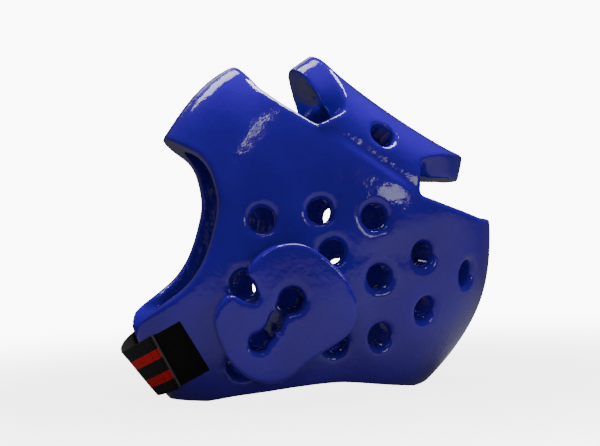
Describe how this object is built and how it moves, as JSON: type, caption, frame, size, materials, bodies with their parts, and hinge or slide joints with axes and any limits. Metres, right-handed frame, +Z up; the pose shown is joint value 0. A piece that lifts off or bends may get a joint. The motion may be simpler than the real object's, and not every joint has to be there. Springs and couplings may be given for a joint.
{
  "type": "karate headgear",
  "caption": "Full-face sparring head guard of thick vinyl-dipped foam, vented, with raised ear pads and an elastic nape strap.",
  "frame": {"origin": "on the floor under the centre of the headgear's bounding box, as it stands on its chin rim and nape rims", "axes": "+Z up, the face looks along -Y, +X towards the wearer's left"},
  "size_m": [0.2266, 0.2798, 0.2447],
  "materials": {
    "vinyl": "glossy dipped vinyl over foam, royal blue",
    "loop_tape": "black napped hook-and-loop tape",
    "elastic": "black ribbed elastic webbing with two red stripes"
  },
  "bodies": {
    "root": {"right_side_panel": "vinyl", "left_side_panel": "vinyl", "forehead_panel": "vinyl", "right_ear_pad": "vinyl", "left_ear_pad": "vinyl", "right_strap_patch": "loop_tape", "left_strap_patch": "loop_tape", "nape_strap": "elastic"}
  },
  "joints": []
}
